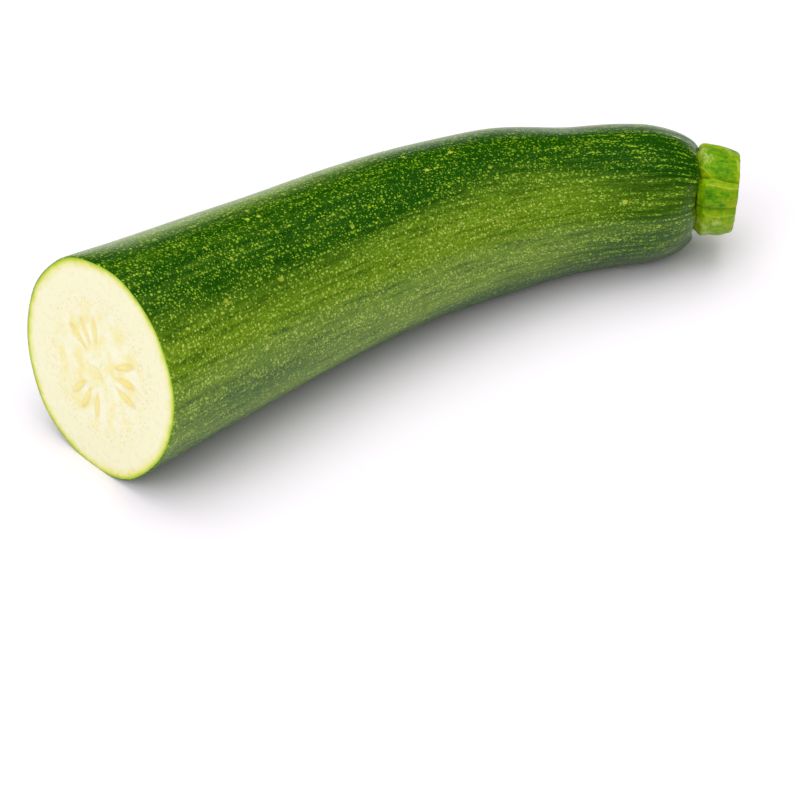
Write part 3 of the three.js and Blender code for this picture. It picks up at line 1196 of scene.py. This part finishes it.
@dataclass(frozen=True)
class FleshFinish:
    """Raw courgette flesh, cut with a knife: wet, close-grained and a little see-through.

    To the eye it is cream, going yellow-green to a thin dark line at the skin, with a faint dotted
    ring, a warmer pulp inside it and pale yellow seeds, under a wet, uneven gloss.
    """

    rim_depth: float = 2.7
    rim: tuple[tuple[float, str], ...] = (
        (0.0, "2a5400"),
        (0.07, "4f8800"),
        (0.13, "92b600"),
        (0.24, "b4c81c"),
        (0.4, "d8da70"),
        (0.65, "e8e5a8"),
        (1.0, "eeebc6"),
    )
    gel: str = "ece29a"
    pith: str = "f2efd6"
    dot: str = "e0c894"
    seed: str = "ecdc78"
    seed_edge: str = "e0cc7c"
    star: str = "d8d87a"
    seed_strength: float = 0.7
    star_strength: float = 0.5
    ior: float = 1.36
    glossiest: float = 0.22
    dullest: float = 0.46
    grain: float = 0.45
    bump: float = 0.06
    bump_mm: float = 0.06
    subsurface: float = 0.2
    subsurface_radius: tuple[float, float, float] = (1.0, 0.8, 0.35)
    subsurface_mm: float = 1.2

    def material(self) -> bpy.types.Material:
        """Makes the flesh's material."""
        material, tree, shader = start_material("courgette_flesh")
        right, up, from_skin = read_parts(tree, "cut_mm")
        seeds, seed_edges, star = read_parts(tree, "marks")
        ring, pulp, _ = read_parts(tree, "zones")
        across = add_node(tree, "ShaderNodeCombineXYZ", {0: right, 1: up}).outputs[0]

        # The green rim fades inwards, a little further in some places than in others.
        fray = add_node(
            tree, "ShaderNodeTexNoise", {"Vector": across, "Scale": per_mm(2.4)[0], "Detail": 4.0}
        ).outputs["Fac"]
        frayed = add_node(
            tree,
            "ShaderNodeMapRange",
            {"Value": fray, "From Min": 0.25, "From Max": 0.75, "To Min": 0.75, "To Max": 1.3},
        ).outputs[0]
        depth = add_node(tree, "ShaderNodeMath", {0: from_skin, 1: frayed}, operation="MULTIPLY").outputs[0]
        share = add_node(
            tree, "ShaderNodeMath", {0: depth, 1: self.rim_depth}, operation="DIVIDE", use_clamp=True
        ).outputs[0]
        colour = add_node(tree, "ShaderNodeValToRGB", {0: share}, stops=self.rim).outputs[0]

        # The pulp has yellow gel and white pith in it, and a ring of dotted vessels goes round it.
        blotch = add_node(
            tree, "ShaderNodeTexNoise", {"Vector": across, "Scale": per_mm(4.2)[0], "Detail": 3.0}
        ).outputs["Fac"]
        gel = add_node(
            tree, "ShaderNodeMapRange", {"Value": blotch, "From Min": 0.46, "From Max": 0.62, "To Max": 0.85}
        ).outputs[0]
        pith = add_node(
            tree, "ShaderNodeMapRange", {"Value": blotch, "From Min": 0.47, "From Max": 0.36, "To Max": 0.8}
        ).outputs[0]
        cells = add_node(
            tree, "ShaderNodeTexVoronoi", {"Vector": across, "Scale": per_mm(0.8)[0]}
        ).outputs["Distance"]
        dots = add_node(
            tree,
            "ShaderNodeMapRange",
            {"Value": cells, "From Min": 0.4, "From Max": 0.12, "To Max": 0.7},
            interpolation_type="SMOOTHSTEP",
        ).outputs[0]
        layers = []
        for where, strength, tint in (
            (pulp, gel, self.gel),
            (pulp, pith, self.pith),
            (ring, dots, self.dot),
            (seeds, self.seed_strength, self.seed),
            (seed_edges, blotch, self.seed_edge),
            (star, self.star_strength, self.star),
        ):
            mask = add_node(tree, "ShaderNodeMath", {0: where, 1: strength}, operation="MULTIPLY").outputs[0]
            layers.append((mask, tint))
        tree.links.new(paint(tree, colour, tuple(layers)), shader.inputs["Base Color"])

        # Cut cells, about half a millimetre across, and the juice that stands between them.
        cell_wall = add_node(
            tree, "ShaderNodeTexVoronoi", {"Vector": across, "Scale": per_mm(self.grain)[0]}
        ).outputs["Distance"]
        wet = add_node(
            tree, "ShaderNodeTexNoise", {"Vector": across, "Scale": per_mm(1.6)[0], "Detail": 4.0}
        ).outputs["Fac"]
        span = {"From Min": 0.35, "From Max": 0.65, "To Min": self.glossiest, "To Max": self.dullest}
        dull = add_node(tree, "ShaderNodeMapRange", {"Value": wet, **span}).outputs[0]
        tree.links.new(dull, shader.inputs["Roughness"])
        height = add_node(tree, "ShaderNodeMath", {0: cell_wall, 1: wet}, operation="ADD").outputs[0]
        bump = add_node(
            tree, "ShaderNodeBump", {"Height": height, "Strength": self.bump, "Distance": self.bump_mm * MM}
        ).outputs[0]
        tree.links.new(bump, shader.inputs["Normal"])
        shader.inputs["IOR"].default_value = self.ior
        shader.inputs["Subsurface Weight"].default_value = self.subsurface
        shader.inputs["Subsurface Radius"].default_value = self.subsurface_radius
        shader.inputs["Subsurface Scale"].default_value = self.subsurface_mm * MM
        return material


@dataclass(frozen=True)
class StalkFinish:
    """A courgette's stalk: tough, fibrous and lightly furred, grown green and cut.

    To the eye it is a mottled bright yellow-green with deeper green and whitish patches, pale raised
    lines, brown where it dried, and it has a dull satin gloss.
    """

    ground: tuple[tuple[float, str], ...] = (
        (0.3, "367800"),
        (0.42, "5c9200"),
        (0.52, "7aa000"),
        (0.64, "98ac00"),
        (0.78, "b2be2a"),
    )
    pale: str = "c4d278"
    line: str = "b8ca44"
    fibre_tint: str = "a8c01c"
    # Painted shade in the grooves between the ribs.
    groove: str = "355c00"
    brown: str = "9a9a14"
    end: str = "bccb78"
    end_pith: str = "dbe2b4"
    end_vessel: str = "86a040"
    end_rind: str = "7f9a22"
    ior: float = 1.42
    specular: float = 0.2
    roughness: float = 0.36
    bump: float = 0.6
    bump_mm: float = 0.2
    subsurface: float = 0.06
    subsurface_radius: tuple[float, float, float] = (0.6, 1.0, 0.2)
    subsurface_mm: float = 1.0
    mottle: float = 2.0
    deepening: float = 0.13
    end_lift: float = 0.07
    fibre: float = 0.34
    fibre_length: float = 2.2
    speck: float = 0.42
    speck_width: float = 1.1
    pale_gain: float = 0.36
    brown_gain: float = 0.3

    def material(self) -> bpy.types.Material:
        """Makes the stalk's material."""
        material, tree, shader = start_material("courgette_stalk")
        grown = add_node(tree, "ShaderNodeAttribute", attribute_name="grown_mm").outputs["Vector"]
        in_groove, near_end, on_end = read_parts(tree, "ribs")
        pale, deep, brown = read_parts(tree, "blots")
        vessels, pith, rind = read_parts(tree, "end_marks")

        # Mottling from two millimetres down to a tenth, deeper in some patches and golden at the cut.
        mottle = add_node(
            tree,
            "ShaderNodeTexNoise",
            {"Vector": grown, "Scale": per_mm(self.mottle)[0], "Detail": 8.0, "Roughness": 0.72},
        ).outputs["Fac"]
        deepened = add_node(
            tree, "ShaderNodeMath", {0: deep, 1: -self.deepening, 2: mottle}, operation="MULTIPLY_ADD"
        ).outputs[0]
        gilded = add_node(
            tree, "ShaderNodeMath", {0: near_end, 1: self.end_lift, 2: deepened}, operation="MULTIPLY_ADD"
        ).outputs[0]
        colour = add_node(tree, "ShaderNodeValToRGB", {0: gilded}, stops=self.ground).outputs[0]

        # Fibres run lengthwise, and specks of pale fur and dry brown gather in patches.
        fibres = drawn_noise(tree, grown, (self.fibre, self.fibre, self.fibre_length), 4.0)
        specks = drawn_noise(tree, grown, (self.speck_width, self.speck_width, self.speck), 3.0)
        patches = []
        for patch, gain, tint in ((pale, self.pale_gain, self.pale), (brown, self.brown_gain, self.brown)):
            raised = add_node(
                tree, "ShaderNodeMath", {0: patch, 1: gain, 2: specks}, operation="MULTIPLY_ADD"
            ).outputs[0]
            patch_mask = add_node(
                tree,
                "ShaderNodeMapRange",
                {"Value": raised, "From Min": 0.6, "From Max": 1.02, "To Max": 0.7},
                interpolation_type="SMOOTHSTEP",
            ).outputs[0]
            patches.append((patch_mask, tint))
        # Painted shade darkens the grooves.
        groove_shade_mask = add_node(
            tree, "ShaderNodeMapRange", {"Value": in_groove, "From Min": 0.4, "From Max": 1.0, "To Max": 0.8}
        ).outputs[0]
        line_mask = add_node(
            tree,
            "ShaderNodeMapRange",
            {"Value": in_groove, "From Min": -0.3, "From Max": -0.95, "To Max": 0.75},
        ).outputs[0]
        broken = add_node(
            tree, "ShaderNodeMapRange", {"Value": specks, "From Min": 0.35, "From Max": 0.55, "To Min": 0.3}
        ).outputs[0]
        broken_line = add_node(
            tree, "ShaderNodeMath", {0: line_mask, 1: broken}, operation="MULTIPLY"
        ).outputs[0]
        fibre_mask = add_node(
            tree, "ShaderNodeMapRange", {"Value": fibres, "From Min": 0.52, "From Max": 0.72, "To Max": 0.4}
        ).outputs[0]
        layers = (
            *patches,
            (fibre_mask, self.fibre_tint),
            (groove_shade_mask, self.groove),
            (broken_line, self.line),
            (on_end, self.end),
            (vessels, self.end_vessel),
            (pith, self.end_pith),
            (rind, self.end_rind),
        )
        tree.links.new(paint(tree, colour, layers), shader.inputs["Base Color"])

        height = add_node(tree, "ShaderNodeMath", {0: fibres, 1: mottle}, operation="ADD").outputs[0]
        bump = add_node(
            tree, "ShaderNodeBump", {"Height": height, "Strength": self.bump, "Distance": self.bump_mm * MM}
        ).outputs[0]
        tree.links.new(bump, shader.inputs["Normal"])
        shader.inputs["Roughness"].default_value = self.roughness
        shader.inputs["IOR"].default_value = self.ior
        shader.inputs["Specular IOR Level"].default_value = self.specular
        shader.inputs["Subsurface Weight"].default_value = self.subsurface
        shader.inputs["Subsurface Radius"].default_value = self.subsurface_radius
        shader.inputs["Subsurface Scale"].default_value = self.subsurface_mm * MM
        return material


@dataclass(frozen=True)
class SoftLight:
    """A square softbox that points at the courgette, and that gloss doesn't mirror."""

    name: str
    azimuth: float
    elevation: float
    distance: float
    side: float
    power: float

    def build(self, aim: Vector) -> bpy.types.Object:
        """Hangs the softbox."""
        data = bpy.data.lights.new(self.name, "AREA")
        data.shape = "SQUARE"
        data.size = self.side
        data.energy = self.power
        lamp = add_object(self.name, data)
        away = direction(self.azimuth, self.elevation)
        lamp.location = aim + away * self.distance
        lamp.rotation_euler = away.to_track_quat("Z", "Y").to_euler()
        lamp.visible_glossy = False
        return lamp


@dataclass
class Studio:
    """A pale floor, soft light from all round and a camera that looks down on the courgette."""

    aim: Vector = field(default_factory=lambda: Vector((-13.03, -19.63, -0.5)) * MM)
    camera_azimuth: float = math.radians(-117.7)
    camera_elevation: float = math.radians(40)
    camera_distance: float = 0.6
    focal_length: float = 123.0
    sensor_width: float = 36.0
    floor_size: float = 10.0
    floor_colour: str = "f5f0f6"
    horizon_strength: float = 0.25
    sky_strength: float = 1.0
    lights: tuple[SoftLight, ...] = (
        SoftLight("top_softbox", math.radians(62), math.radians(75), 1.2, 1.3, 6.8),
        SoftLight("left_softbox", math.radians(200), math.radians(42), 1.1, 0.8, 4.0),
    )

    def build_floor(self) -> bpy.types.Object:
        """Lays the floor."""
        sheet = bmesh.new()
        bmesh.ops.create_grid(sheet, x_segments=1, y_segments=1, size=self.floor_size / 2)
        data = bpy.data.meshes.new("floor")
        sheet.to_mesh(data)
        sheet.free()
        material, _, shader = start_material("pale_floor")
        shader.inputs["Base Color"].default_value = linear(self.floor_colour)
        shader.inputs["Roughness"].default_value = 0.7
        shader.inputs["Specular IOR Level"].default_value = 0.1
        data.materials.append(material)
        floor = add_object("floor", data)
        return floor

    def build_camera(self) -> bpy.types.Object:
        """Sets up the camera."""
        data = bpy.data.cameras.new("camera")
        data.lens = self.focal_length
        data.sensor_width = self.sensor_width
        data.clip_start = 0.01
        data.clip_end = 20.0
        camera = add_object("camera", data)
        away = direction(self.camera_azimuth, self.camera_elevation)
        camera.location = self.aim + away * self.camera_distance
        camera.rotation_euler = away.to_track_quat("Z", "Y").to_euler()
        bpy.context.scene.camera = camera
        return camera

    def build_sky(self) -> None:
        """Surrounds the scene with white light, brightest overhead, which gloss doesn't mirror."""
        world = bpy.data.worlds.new("soft_sky")
        world.use_nodes = True
        tree = world.node_tree
        backdrop = tree.nodes["Background"]
        backdrop.inputs["Color"].default_value = WHITE
        towards = add_node(tree, "ShaderNodeTexCoord").outputs["Generated"]
        rise = add_node(tree, "ShaderNodeSeparateXYZ", {0: towards}).outputs[2]
        span = {"Value": rise, "To Min": self.horizon_strength, "To Max": self.sky_strength}
        strength = add_node(tree, "ShaderNodeMapRange", span).outputs[0]
        tree.links.new(strength, backdrop.inputs["Strength"])
        bpy.context.scene.world = world
        world.cycles_visibility.glossy = False

    def build(self) -> None:
        """Sets up the whole studio."""
        self.build_floor()
        self.build_sky()
        for light in self.lights:
            light.build(self.aim)
        self.build_camera()
        bpy.context.scene.view_settings.view_transform = "Standard"
        log.info("studio: %d softboxes", len(self.lights))


def main() -> None:
    """Builds the studio, then the courgette's pieces in order."""
    logging.basicConfig(level=logging.INFO, format="%(name)s: %(message)s")
    Studio().build()
    growth = Growth()
    Fruit(growth, CutFace()).build(SkinFinish().material(), FleshFinish().material())
    Stalk(growth).build(StalkFinish().material())


if __name__ == "__main__":
    main()
